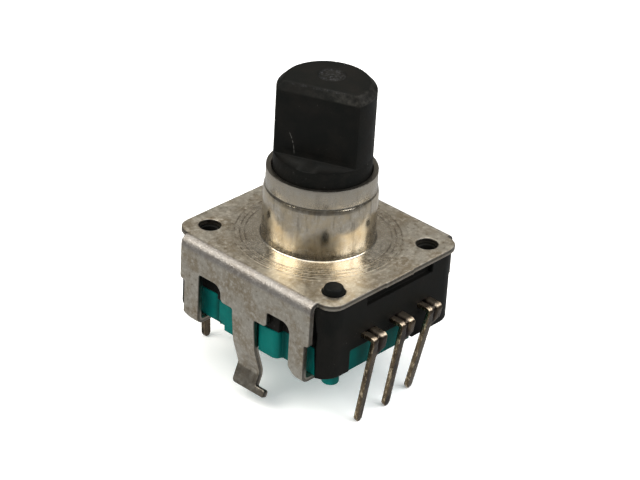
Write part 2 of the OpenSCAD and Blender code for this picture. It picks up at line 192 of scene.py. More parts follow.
def sheet_mesh(loops, thickness, fold, grid, lip=0.05, open_loops=(), step=0.22, gap=0.06):
    """A folded piece of sheet, from its flat pattern.

    loops are the pattern's outlines with the material on their left, fold turns flat coordinates
    (s, t, depth) into points, and grid is the pair of lists of s and t where the inside is divided.
    The edges are rounded by lip, and marked 1 where they were sheared and 0.5 where they broke.
    open_loops get no edge: another part of the mesh joins them. step is the longest edge along an
    outline, and gap is how far the inside's points keep from it.
    """
    loops = [densified(list(map(tuple, loop)), step) for loop in loops]
    open_loops = [np.array(loop) for loop in open_loops]
    turns = np.radians([90, 60, 30, 0])
    rings = [(lip * (1 - math.cos(a)), lip * (1 - math.sin(a))) for a in turns]
    rings += ([(0, SHEARED_TO * thickness), (0, BROKEN_FROM * thickness)]
              + [(i, thickness - d) for i, d in reversed(rings)])
    rims = [inset(loop, lip) for loop in loops] + open_loops
    lattice = np.stack(np.meshgrid(*grid), -1).reshape(-1, 2)
    inner = clear_inside(lattice, rims, gap)
    flat = np.concatenate(rims + [inner])
    edges, start = [], 0
    for rim in rims:
        edges += [(start + i, start + (i + 1) % len(rim)) for i in range(len(rim))]
        start += len(rim)
    out = delaunay_2d_cdt([Vector(p) for p in flat], edges, [], 0, 1e-6)
    flat = np.array([tuple(v) for v in out[0]])
    middles = np.array([flat[list(f)].mean(0) for f in out[2]])
    kept = {tuple(p) for p in clear_inside(middles, rims, 0)}
    faces = [f for f, m in zip(out[2], middles) if tuple(m) in kept]
    count = len(flat)
    verts = [fold(flat[:, 0], flat[:, 1], np.full(count, depth)) for depth in (0.0, thickness)]
    shear = [np.zeros(2 * count)]
    quads = [tuple(f) for f in faces] + [tuple(count + i for i in reversed(f)) for f in faces]
    start, total = 0, 2 * count
    for loop in loops:
        n = len(loop)
        previous = np.arange(start, start + n)
        for move, depth in rings[1:-1]:
            ring = inset(loop, move)
            verts.append(fold(ring[:, 0], ring[:, 1], np.full(n, depth)))
            shear.append(np.full(n, 1.0 if depth < BROKEN_FROM * thickness else 0.5))
            here = np.arange(total, total + n)
            total += n
            quads += [(previous[i], here[i], here[(i + 1) % n], previous[(i + 1) % n]) for i in range(n)]
            previous = here
        here = count + np.arange(start, start + n)
        quads += [(previous[i], here[i], here[(i + 1) % n], previous[(i + 1) % n]) for i in range(n)]
        start += n
    return np.concatenate(verts), quads, np.concatenate(shear)


def bent_path(corners, step=0.02):
    """A path through corners (u, z, radius) with rounded bends.

    Returns its points, its left-hand normals and its running length, evenly spaced enough to interpolate.
    """
    line = [Vector(corners[0][:2])]
    for (u0, z0, _), (u1, z1, r), (u2, z2, _) in zip(corners, corners[1:], corners[2:]):
        here = Vector((u1, z1))
        before, after = (Vector((u0, z0)) - here).normalized(), (Vector((u2, z2)) - here).normalized()
        half = before.angle(after) / 2
        middle = here + (before + after).normalized() * (r / math.sin(half))
        start = here + before * (r / math.tan(half)) - middle
        sweep = start.angle_signed(here + after * (r / math.tan(half)) - middle)
        for k in range(13):
            turned = start.copy()
            turned.rotate(Matrix.Rotation(-sweep * k / 12, 2))
            line.append(middle + turned)
    line.append(Vector(corners[-1][:2]))
    points = np.array([tuple(p) for p in line])
    run = np.concatenate([[0], np.cumsum(np.linalg.norm(np.diff(points, axis=0), axis=1))])
    even = np.arange(0, run[-1] + step, step)
    fine = np.stack([np.interp(even, run, points[:, 0]), np.interp(even, run, points[:, 1])], 1)
    along = np.gradient(fine, axis=0)
    along /= np.linalg.norm(along, axis=1)[:, None]
    normals = np.stack([-along[:, 1], along[:, 0]], 1)
    return {"points": fine, "normals": normals, "run": even, "length": run[-1]}


def on_path(path, s, depth):
    """Points at running length s, sunk by depth below the path's outer side."""
    run, points, normals = path["run"], path["points"], path["normals"]
    u, z = (np.interp(s, run, points[:, k]) - depth * np.interp(s, run, normals[:, k]) for k in (0, 1))
    return u, z


def run_at_height(path, z):
    """Running length at which the path first comes down to z."""
    below = np.argmax(path["points"][:, 1] <= z)
    return float(path["run"][below])


# ---------------------------------------------------------------- cover

LEG_OUT, LEG_IN, WINDOW_IN = 5.05, 3.8, 1.95
LUG_HALF, TOE_OUT, TOE_H = 0.93, 1.72, 0.48
SKIRT_HALF = 5.42
SKIRT_LOW, WINDOW_TOP, YOKE_LOW = 2.95, 3.82, 2.78
FOOT_FROM, FOOT_TO = -4.45, 4.6
TAB_FROM, TAB_TO, TAB_OUT = -1.16, 1.34, 0.05
NECK_R, BAND_R, BORE_R, BAND_H = 3.5, 3.39, 3.05, 1.2
# radius and depth of the shallow rings that drawing left round the neck
DRAWN_RINGS = [(5.52, 0.008), (5.2, 0.014), (5.02, 0.006), (4.85, 0.012), (4.7, 0.006), (4.56, 0.014),
               (4.4, 0.008)]
SHADED_RING_RADII = (5.11, 4.77, 4.48)   # the radii of the drawing rings that get painted shade
APRON_W, APRON_H = 0.7, 0.12
# the lug's bends: how far in from the skirt, the height, and the bend's radius
LUG_SWEEP, LUG_WAIST, LUG_KNEE, LUG_END_IN = (0, 2.4, 4.0), (0.17, 0.55, 2.5), (0.73, -1.25, 0.12), 0.23
# the height below which the lugs get painted shade
LUG_SHADE_FROM = -1.32

LEG_PATH = bent_path([
    (0, PLATE_TOP, 0), (SKIRT_X, PLATE_TOP, BEND_R), (SKIRT_X, FOOT_LOW, BEND_R),
    (SKIRT_X - 1.3, FOOT_LOW, 0)])
LUG_PATH = bent_path(
    [(0, PLATE_TOP, 0), (SKIRT_X, PLATE_TOP, BEND_R)]
    + [(SKIRT_X - inward, z, r) for inward, z, r in (LUG_SWEEP, LUG_WAIST, LUG_KNEE)]
    + [(SKIRT_X - LUG_END_IN, LUG_LOW, 0)])


def fold_cover(s, t, depth):
    """The cover's flat pattern, folded: the plate, then each skirt down, its feet in and its lug kinked."""
    side = np.where(s < 0, -1.0, 1.0)
    leg_u, leg_z = on_path(LEG_PATH, np.abs(s), depth)
    lug_u, lug_z = on_path(LUG_PATH, np.abs(s), depth)
    lug = np.abs(t) < (WINDOW_IN + LEG_IN) / 2
    u, z = np.where(lug, lug_u, leg_u), np.where(lug, lug_z, leg_z)
    return np.stack([side * u, t, z], 1)


def cover_outline():
    """The cover's flat pattern, anticlockwise: front edge, right side, back edge, left side."""
    heights = (SKIRT_LOW, WINDOW_TOP, YOKE_LOW, 1.0, 0.45)
    low, top, yoke, chamfer_a, chamfer_b = (run_at_height(LEG_PATH, z) for z in heights)
    foot, lug = LEG_PATH["length"], LUG_PATH["length"]
    right = [
        (FREE_X, -PLATE_Y, 1.0), (FREE_X, -SKIRT_HALF, 0.06), (low, -SKIRT_HALF, 0.25), (low, -LEG_OUT, 0.1),
        (foot, -LEG_OUT, 0.15), (foot, FOOT_FROM, 0.15), (chamfer_b, FOOT_FROM + 0.03, 0.2),
        (chamfer_a, -LEG_IN, 0.2),
        (top, -LEG_IN, 0.6), (top, -WINDOW_IN, 0.15), (yoke, -WINDOW_IN, 0.3), (yoke, -LUG_HALF, 0.12),
        (lug - TOE_H, -LUG_HALF, 0.08), (lug - TOE_H, -TOE_OUT, 0.14), (lug, -TOE_OUT, 0.14),
        (lug, LUG_HALF, 0.25), (yoke, LUG_HALF, 0.12), (yoke, WINDOW_IN, 0.3), (top, WINDOW_IN, 0.6),
        (top, LEG_IN, 0.15), (foot, LEG_IN, 0.15), (foot, FOOT_TO, 0.15), (chamfer_b, FOOT_TO, 0.15),
        (chamfer_b - 0.3, LEG_OUT, 0.1), (low, LEG_OUT, 0.1), (low, SKIRT_HALF, 0.25),
        (FREE_X, SKIRT_HALF, 0.06), (FREE_X, PLATE_Y, 1.0)]
    left = [(-s, t, r) for s, t, r in reversed(right)]
    tab = [(TAB_FROM, -PLATE_Y, 0.02), (TAB_FROM + 0.05, -PLATE_Y - TAB_OUT - 0.02, 0.03),
           (TAB_FROM + 0.3, -PLATE_Y - TAB_OUT, 0.1), (TAB_TO - 0.3, -PLATE_Y - TAB_OUT, 0.1),
           (TAB_TO - 0.05, -PLATE_Y - TAB_OUT - 0.02, 0.03), (TAB_TO, -PLATE_Y, 0.02)]
    return rounded(right + left + tab)


def bushing_profile(mouth):
    """The drawn bushing's section, from the plate's rings up over the mouth and down the bore."""
    outer, band, bore, groove, fillet = NECK_R, BAND_R, BORE_R, RIM_TOP - BAND_H, 0.15
    foot = PLATE_TOP + APRON_H
    rings = []
    for r in np.arange(mouth, outer + APRON_W, -0.02):
        dip = sum(deep * math.exp(-((r - middle) / 0.04) ** 2) for middle, deep in DRAWN_RINGS)
        rings.append((r, PLATE_TOP + 0.05 * (mouth - r) - dip))
    return np.array(
        rings + [(outer + APRON_W - 0.06, rings[-1][1] + 0.015)]
        + arc(outer + fillet, foot + fillet, fillet, 265, 180, 8)
        + [(outer, RIM_TOP - 3.0), (outer, groove - 0.36), (outer - 0.012, groove - 0.3)]
        + [(band + 0.07, groove - 0.13), (band + 0.055, groove - 0.08), (band - 0.02, groove)]
        + [(band, groove + 0.07), (band, RIM_TOP - 0.5)]
        + arc(band - 0.03, RIM_TOP - 0.03, 0.03, 0, 90, 4)
        + [(bore + 0.12, RIM_TOP - 0.005)] + arc(bore + 0.05, RIM_TOP - 0.06, 0.05, 90, 180, 4)
        + [(bore, RIM_TOP - 2.0)]
        + arc(bore + 0.8, PLATE_UNDER + 0.8, 0.8, 180, 270, 10) + [(mouth, PLATE_UNDER)])


def make_cover():
    mouth = 5.7
    sides = 192
    circle = np.array(arc(0, 0, mouth, 360, 0, sides)[:-1])
    holes = [arc(side * HOLE_X, side * HOLE_Y, HOLE_R + 0.01, 360, 0, 40)[:-1] for side in (-1, 1)]
    holes += [arc(side * HOLE_X, -side * HOLE_Y, HOLE_R - 0.02, 360, 0, 40)[:-1] for side in (-1, 1)]
    bend = SKIRT_X - BEND_R
    kinks = [run_at_height(LUG_PATH, z) for z in (-1.1, -1.4)]
    half = np.concatenate([
        np.arange(0.2, bend - 0.1, 0.4), np.arange(bend, bend + 0.85, 0.065),
        np.arange(bend + 1, kinks[0], 0.3), np.arange(kinks[0], kinks[1], 0.04),
        np.arange(kinks[1], LUG_PATH["length"], 0.2)])
    lines_s = np.concatenate([-half[::-1], half])
    lines_t = np.arange(-PLATE_Y + 0.15, PLATE_Y, 0.3)
    verts, faces, shear = sheet_mesh(
        [cover_outline()] + holes, SHEET, fold_cover, (lines_s, lines_t), open_loops=[circle])
    profile = bushing_profile(mouth)
    turn = np.radians(np.linspace(0, 360, sides, endpoint=False))
    rows = [np.stack([r * np.cos(turn), r * np.sin(turn), np.full(sides, z)], 1) for r, z in profile]
    start = len(verts)
    for k in range(len(rows) - 1):
        base = start + k * sides
        faces += [(base + i, base + (i + 1) % sides, base + sides + (i + 1) % sides, base + sides + i)
                  for i in range(sides)]
    shear = np.concatenate([shear, np.zeros(len(rows) * sides)])
    bm = from_arrays(np.concatenate([verts] + rows), faces, shear)
    bmesh.ops.remove_doubles(bm, verts=bm.verts, dist=0.0008)
    return even_normals(to_object("cover_sheet", bm))


# ---------------------------------------------------------------- shaft

SHAFT_R, FLAT_D, DIMPLE_R = 3.0, 1.5, 0.9
SHAFT_TOP = SHAFT_HIGH.z
FLAT_LOW = SHAFT_TOP - 4.7
FLAT_ANGLE = math.radians(202.7)


def softened_min(a, b, k):
    """The smaller of a and b, with the corner between them rounded over a length k."""
    mix = np.clip(0.5 + 0.5 * (b - a) / k, 0, 1)
    return b * (1 - mix) + a * mix - k * mix * (1 - mix)


def make_shaft():
    """A loft of rings up the shaft, each a circle of radius r cut by the flat at distance d."""
    edge = math.acos(FLAT_D / SHAFT_R)
    near = np.radians(np.arange(-6, 6.1, 0.5))
    turn = np.unique(np.round(np.concatenate([
        np.radians(np.arange(-180, 180, 1.5)), near - edge, near + edge]), 6))
    across = np.cos(turn)
    far = 50.0

    def ring(r, d, z, soft=0.06):
        cut = np.where(across > 0.05, d / np.maximum(across, 0.05), far)
        radius = softened_min(np.full(len(turn), r), cut, soft)
        return np.stack([radius * np.cos(turn + FLAT_ANGLE), radius * np.sin(turn + FLAT_ANGLE),
                         np.full(len(turn), z)], 1)

    rings = []
    drive_r, flange_r, tip_r = 2.0, 4.6, 1.5
    flange_low, flange_top, drive_low = 4.95, PLATE_UNDER - 0.11, 3.6
    soft_edge = 0.08
    for r, z in ((0.02, SHAFT_LOW.z), (tip_r - 0.1, SHAFT_LOW.z), (tip_r, SHAFT_LOW.z + 0.1),
                 (tip_r, drive_low), (drive_r, drive_low), (drive_r, flange_low),
                 (flange_r - soft_edge, flange_low), (flange_r, flange_low + soft_edge),
                 (flange_r, flange_top - soft_edge), (flange_r - soft_edge, flange_top),
                 (SHAFT_R, flange_top)):
        rings.append(ring(r, far, z))
    ledge = [(SHAFT_R, FLAT_LOW - 2), (SHAFT_R, FLAT_LOW - 0.06), (SHAFT_R - 0.02, FLAT_LOW - 0.02)]
    for r, z in ledge:
        rings.append(ring(r, SHAFT_R if z > FLAT_LOW - 0.05 else far, z))
    rings.append(ring(SHAFT_R, SHAFT_R - 0.06, FLAT_LOW))
    rings.append(ring(SHAFT_R, FLAT_D + 0.05, FLAT_LOW))
    rings.append(ring(SHAFT_R, FLAT_D, FLAT_LOW + 0.06))
    chamfer, flat_h, flat_w, soft = 0.45, 0.6, 0.36, 0.05
    for z in np.concatenate([np.linspace(FLAT_LOW + 0.4, SHAFT_TOP - 0.75, 10),
                             np.linspace(SHAFT_TOP - 0.7, SHAFT_TOP - 0.05, 22)]):
        r = softened_min(SHAFT_R, SHAFT_R - (z - SHAFT_TOP + chamfer), soft)
        d = softened_min(FLAT_D, FLAT_D - (z - SHAFT_TOP + flat_h) * flat_w / flat_h, soft)
        rings.append(ring(r, d, z))
    r, d = SHAFT_R - chamfer, FLAT_D - flat_w
    for back, drop in ((0.0, 0.03), (0.03, 0.008), (0.07, 0.0)):
        rings.append(ring(r - back, d - back, SHAFT_TOP - drop))
    # the end face, drawn in towards the gate's dimple
    centre = np.array([-math.cos(FLAT_ANGLE), -math.sin(FLAT_ANGLE)]) * FLAT_D / 2
    rim = rings[-1][:, :2]
    dimple = centre + DIMPLE_R * (rim - centre) / np.linalg.norm(rim - centre, axis=1)[:, None]
    for share in (0.35, 0.7, 0.95):
        flat = rim + (dimple - rim) * share
        rings.append(np.column_stack([flat, np.full(len(flat), SHAFT_TOP)]))
    for share, drop in ((1.0, 0.0), (0.94, 0.02), (0.9, 0.07), (0.84, 0.11), (0.7, 0.12), (0.5, 0.12),
                        (0.42, 0.09), (0.3, 0.1), (0.15, 0.07), (0.01, 0.08)):
        flat = centre + (dimple - centre) * share
        rings.append(np.column_stack([flat, np.full(len(flat), SHAFT_TOP - drop)]))
    n = len(turn)
    faces = [tuple(range(n))[::-1], tuple(range((len(rings) - 1) * n, len(rings) * n))]
    for a in range(0, (len(rings) - 1) * n, n):
        b = a + n
        faces += [(a + i, a + (i + 1) % n, b + (i + 1) % n, b + i) for i in range(n)]
    return even_normals(to_object("shaft_d", from_arrays(np.concatenate(rings), faces)))


# ---------------------------------------------------------------- mouldings

def prism(outline, z0, z1):
    """A bmesh of the outline, from z0 up to z1."""
    n = len(outline)
    verts = [(x, y, z0) for x, y in outline] + [(x, y, z1) for x, y in outline]
    faces = [tuple(range(n))[::-1], tuple(range(n, 2 * n))]
    faces += [(i, (i + 1) % n, n + (i + 1) % n, n + i) for i in range(n)]
    bm = from_arrays(verts, faces)
    bmesh.ops.recalc_face_normals(bm, faces=bm.faces)
    return bm


def brick(low, high):
    (x0, y0, z0), (x1, y1, z1) = low, high
    return prism([(x0, y0), (x1, y0), (x1, y1), (x0, y1)], z0, z1)


def drum(x, y, r, z0, z1, sides=64):
    return prism(arc(x, y, r, 0, 360, sides)[:-1], z0, z1)


def stud(x, y, r, tip, z0, z1, z2):
    """A round stud: straight from z0 to z1, then tapering to the tip's radius at z2."""
    bm = drum(x, y, r, z0, z1, 48)
    top = max(bm.faces, key=lambda face: face.calc_center_median().z)
    made = bmesh.ops.extrude_face_region(bm, geom=[top])
    bmesh.ops.delete(bm, geom=[top], context="FACES_ONLY")
    for vert in (v for v in made["geom"] if isinstance(v, bmesh.types.BMVert)):
        vert.co = (x + (vert.co.x - x) * tip / r, y + (vert.co.y - y) * tip / r, z2)
    return bm


def combined(first, tools, operation):
    """The first bmesh with every tool joined to it or cut from it, as one closed object."""
    obj = to_object("work", first)
    for tool_mesh in tools:
        tool = to_object("tool", tool_mesh)
        boolean = obj.modifiers.new("boolean", "BOOLEAN")
        boolean.operation = operation
        boolean.solver = "EXACT"
        boolean.object = tool
        settled(obj)
        bpy.data.objects.remove(tool)
    return obj


def settled(obj):
    """The object with its modifiers applied to its mesh."""
    bpy.context.view_layer.update()
    evaluated = obj.evaluated_get(bpy.context.evaluated_depsgraph_get())
    mesh = bpy.data.meshes.new_from_object(evaluated)
    obj.modifiers.clear()
    obj.data = mesh
    return obj


def to_bmesh(obj):
    """The object's mesh in millimetres. The object is removed."""
    bm = bmesh.new()
    bm.from_mesh(obj.data)
    bmesh.ops.scale(bm, vec=(1 / MM, 1 / MM, 1 / MM), verts=bm.verts)
    bpy.data.objects.remove(obj)
    return bm


def moulded(name, obj, edge):
    """A moulding's finish: every crease rounded by edge."""
    obj.name = name
    obj.data.name = name
    bevel = obj.modifiers.new("edges", "BEVEL")
    bevel.width = edge * MM
    bevel.segments = 3
    bevel.limit_method = "ANGLE"
    bevel.angle_limit = math.radians(38)
    bevel.use_clamp_overlap = False
    bevel.miter_outer = "MITER_ARC"
    obj.data.shade_smooth()
    return even_normals(obj)


FAR = 20                           # further out than any part of the object
PITCH, STRIP_SHIFT, PIN_SHIFT, STRIP_W, PIN_W, PIN_T = 2.5, 0.32, -0.02, 1.22, 0.5, 0.3
STRIP_LOW, STRIP_IN = 2.7, 4.0
CASE_X, CASE_Y, CASE_R = CASE_HIGH.x, CASE_HIGH.y, 1.4
FLOOR_LOW, FLOOR_TOP, CHAMBER_R = BASE_HIGH.z, 3.05, 5.35
WALL_IN, POST_X, POST_Y, GATE_TOP = 5.87, 5.53, 5.5, 2.15
BASE_X, BASE_Y, BULGE_Y, HOLLOW_TOP = 5.5, 5.85, 2.6, 3.9
RECESS_FROM, RECESS_TO, RECESS_LOW, RECESS_IN = -2.48, 3.37, 4.75, 0.35
WELL_HALF, WELL_FROM, WELL_TO, WELL_TOP = 0.55, 4.75, 2.85, 4
SPRING_LOW, EAR_HALF, EAR_Y = 5.25, 0.8, 5.75
FILM_LEDGE, POCKET_FLOOR, FILM_R, POCKET_R = 1.62, 1.05, 3.74, 3.1
SPINDLE_R, PIT_R, PIT_FLOOR = 1.8, 0.5, 4.0
# the openings under the case's front and back walls, and the base's blocks that fill them
GATE_FROM, GATE_TO, GATE_BACK, GATE_PLAY, BLOCK_IN = -3.7, 1.9, 3.7, 0.05, 4.85
HOLLOW_Y, HOLLOW_HALF = 4.05, 1.45
BOSS_BASE_R, BOSS_TIP_R = HOLE_R - 0.01, 0.54
FOOT_X, FOOT_Y, FOOT_R = 4.47, 5.62, 0.53
LUG_GROOVE_X, LUG_GROOVE_HALF, NOTCH_FROM, NOTCH_TOP = 5.7, 1.0, 1.9, 1.1
MOULD_EDGE = 0.07


def make_case():
    outline = rectangle(CASE_X, CASE_Y, CASE_R)
    walls = combined(prism(outline, CASE_LOW.z, PLATE_UNDER), [
        brick((-FAR, -POST_Y, -FAR), (FAR, POST_Y, FLOOR_LOW)),
        brick((-POST_X, -WALL_IN, -FAR), (POST_X, WALL_IN, FLOOR_LOW))], "DIFFERENCE")
    cuts = [
        drum(0, 0, CHAMBER_R, FLOOR_TOP, FAR, 128),
        drum(0, 0, SPINDLE_R, -FAR, FAR),
        brick((RECESS_FROM, -FAR, RECESS_LOW), (RECESS_TO, -CASE_Y + RECESS_IN, FAR)),
        brick((GATE_FROM, -FAR, -FAR), (GATE_TO, -WALL_IN + 1, GATE_TOP)),
        brick((-GATE_BACK, WALL_IN - 1, -FAR), (GATE_BACK, FAR, GATE_TOP)),
        brick((-EAR_HALF, -EAR_Y, SPRING_LOW), (EAR_HALF, EAR_Y, FAR))]
    strip_top, half = STRIP_LOW + PIN_T, STRIP_W / 2
    for x in (-PITCH, 0, PITCH):
        middle = x + STRIP_SHIFT
        cuts.append(brick((middle - half, -FAR, STRIP_LOW), (middle + half, -STRIP_IN, strip_top)))
        cuts.append(brick((x - WELL_HALF, -WELL_FROM, strip_top), (x + WELL_HALF, -WELL_TO, WELL_TOP)))
    for side in (-1, 1):
        cuts.append(drum(side * HOLE_X, -side * HOLE_Y, PIT_R, PIT_FLOOR, FAR, 40))
        y0, y1 = side * HOLLOW_Y - HOLLOW_HALF, side * HOLLOW_Y + HOLLOW_HALF
        cuts.append(brick((BASE_X, y0, -FAR), (FAR, y1, HOLLOW_TOP)))
        cuts.append(brick((-FAR, y0, -FAR), (-BASE_X, y1, HOLLOW_TOP)))
    case = combined(to_bmesh(walls), cuts, "DIFFERENCE")
    bosses = [stud(side * HOLE_X, side * HOLE_Y, BOSS_BASE_R, BOSS_TIP_R, PLATE_UNDER - 0.3, PLATE_TOP,
                   CASE_HIGH.z) for side in (-1, 1)]
    return moulded("case_moulding", combined(to_bmesh(case), bosses, "UNION"), MOULD_EDGE)


def make_base():
    low, top = 0.6, BASE_HIGH.z
    body = prism(rectangle(BASE_X, BASE_Y, 0.4), low, top)
    front, back = GATE_FROM + GATE_PLAY, GATE_BACK - GATE_PLAY
    parts = [
        prism(rectangle(BASE_HIGH.x, BULGE_Y, 0.44), low, top),
        brick((front, -BASE_HIGH.y, low), (GATE_TO - GATE_PLAY, -BLOCK_IN, GATE_TOP)),
        brick((-back, BLOCK_IN, low), (back, BASE_HIGH.y, GATE_TOP))]
    parts += [drum(side * FOOT_X, side * FOOT_Y, FOOT_R, BASE_LOW.z, low + 0.05, 40) for side in (-1, 1)]
    base = combined(body, parts, "UNION")
    cuts = [drum(0, 0, POCKET_R, POCKET_FLOOR, FAR, 96), drum(0, 0, FILM_R, FILM_LEDGE, FAR, 96)]
    # behind each lug a groove, and in each bulge's lower corner a notch that stops short of the wall
    for side in (-1, 1):
        for inner_x, y0, y1, z1 in ((LUG_GROOVE_X, -LUG_GROOVE_HALF, LUG_GROOVE_HALF, FAR),
                                    (BASE_X + 0.04, NOTCH_FROM, BULGE_Y + 0.5, NOTCH_TOP)):
            ends = sorted((side * inner_x, side * FAR))
            width = sorted((-side * y0, -side * y1))
            cuts.append(brick((ends[0], width[0], -FAR), (ends[1], width[1], z1)))
    return moulded("base_moulding", combined(to_bmesh(base), cuts, "DIFFERENCE"), MOULD_EDGE)


# ---------------------------------------------------------------- terminals

def make_terminal(name, x, lean):
    """A terminal: strip, bend, shoulder and leaning pin from one strip of sheet."""
    bend, reach, shoulder = 0.32, 7.454, 0.7
    groove_deep, groove_half, groove_from, groove_past = 0.17, 0.12, 1.0, 0.8
    top = STRIP_LOW + PIN_T
    run = (top - PIN_LOW) * math.tan(math.radians(lean))
    path = bent_path([(STRIP_IN, top, 0), (reach, top, bend), (reach - run, PIN_LOW, 0)])
    middle, pin = x + STRIP_SHIFT, x + PIN_SHIFT
    wide, narrow = STRIP_W / 2, PIN_W / 2
    drop = run_at_height(path, top - bend)
    end = path["length"] - 0.01
    outline = rounded([
        (0, middle - wide, 0.05), (drop, pin - narrow, 0.2), (end - 0.22, pin - narrow, 0.2),
        (end, pin - narrow + 0.13, 0.08), (end, pin + narrow - 0.13, 0.08), (end - 0.22, pin + narrow, 0.2),
        (drop + shoulder + 0.4, pin + narrow, 0.3), (drop + shoulder, middle + wide, 0.12),
        (0, middle + wide, 0.05)])

    def fold(s, t, depth):
        groove = groove_deep * np.exp(-((t - middle) / groove_half) ** 2)
        groove *= np.clip((s - groove_from) / 0.8, 0, 1) * np.clip((drop + groove_past - s) / 0.6, 0, 1)
        u, z = on_path(path, s, depth + groove)
        return np.stack([t, -u, z], 1)

    lines_s = np.concatenate([np.arange(0.1, drop - 0.6, 0.25), np.arange(drop - 0.6, drop + 0.9, 0.05),
                              np.arange(drop + 0.9, end, 0.3)])
    lines_t = np.arange(middle - wide, middle + wide, 0.07)
    verts, faces, shear = sheet_mesh(
        [outline], PIN_T, fold, (lines_s, lines_t), lip=0.045, step=0.1, gap=0.04)
    return even_normals(to_object(name, from_arrays(verts, faces, shear)))


# ---------------------------------------------------------------- materials

class Finish:
    """A material's node tree, with short calls for the nodes that the materials share."""

    def __init__(self, name, **constants):
        self.material = bpy.data.materials.new(name)
        self.material.use_nodes = True
        self.tree = self.material.node_tree
        self.surface = self.tree.nodes["Principled BSDF"]
        for socket, value in constants.items():
            self.surface.inputs[socket.replace("_", " ")].default_value = value
        where = self.node("ShaderNodeTexCoord").outputs["Object"]
        scaled = self.node("ShaderNodeVectorMath", {0: where, "Scale": 1 / MM}, operation="SCALE")
        self.place = scaled.outputs[0]
        apart = self.node("ShaderNodeSeparateXYZ", {0: self.place})
        self.x, self.y, self.z = apart.outputs

    def node(self, kind, inputs=None, **settings):
        made = self.tree.nodes.new(kind)
        for key, value in settings.items():
            setattr(made, key, value)
        for key, value in (inputs or {}).items():
            if isinstance(value, bpy.types.NodeSocket):
                self.tree.links.new(value, made.inputs[key])
            else:
                made.inputs[key].default_value = value
        return made

    def math(self, operation, a, b=0.0):
        return self.node("ShaderNodeMath", {0: a, 1: b}, operation=operation).outputs[0]

    def radius(self):
        """Distance from the Z axis."""
        square = [self.math("POWER", s, 2.0) for s in (self.x, self.y)]
        return self.math("SQRT", self.math("ADD", *square))

    def stretched(self, sx, sy, sz):
        inputs = {0: self.place, 1: (sx, sy, sz)}
        return self.node("ShaderNodeVectorMath", inputs, operation="MULTIPLY").outputs[0]

    def noise(self, size, detail=4.0, rough=0.55, where=None, bend=0.0):
        """Noise from 0 to 1 with features of the size, in millimetres."""
        made = self.node("ShaderNodeTexNoise", {
            "Vector": where or self.place, "Scale": 1 / size, "Detail": detail, "Roughness": rough,
            "Distortion": bend})
        return made.outputs["Fac"]

    def span(self, value, low, high, to_low=0.0, to_high=1.0):
        """The value's range from low to high, spread over to_low to to_high with soft ends."""
        made = self.node("ShaderNodeMapRange", {
            "Value": value, "From Min": low, "From Max": high, "To Min": to_low, "To Max": to_high},
            interpolation_type="SMOOTHSTEP")
        return made.outputs[0]

    def blend(self, share, a, b):
        """The share of colour b over colour a."""
        made = self.node("ShaderNodeMix", {0: share, 6: opaque(a), 7: opaque(b)}, data_type="RGBA")
        return made.outputs[2]

    def attribute(self, name):
        return self.node("ShaderNodeAttribute", attribute_name=name).outputs["Fac"]

    def bump(self, *heights):
        """Bumps from pairs of a height from 0 to 1 and its depth in millimetres."""
        normal = None
        for height, depth in heights:
            inputs = {"Height": height, "Distance": depth * MM, "Strength": 1.0}
            if normal:
                inputs["Normal"] = normal
            normal = self.node("ShaderNodeBump", inputs).outputs[0]
        self.tree.links.new(normal, self.surface.inputs["Normal"])

    def connect(self, **sockets):
        for name, socket in sockets.items():
            self.tree.links.new(socket, self.surface.inputs[name.replace("_", " ")])
        return self.material


def opaque(colour):
    return colour if isinstance(colour, bpy.types.NodeSocket) else (*colour, 1.0)


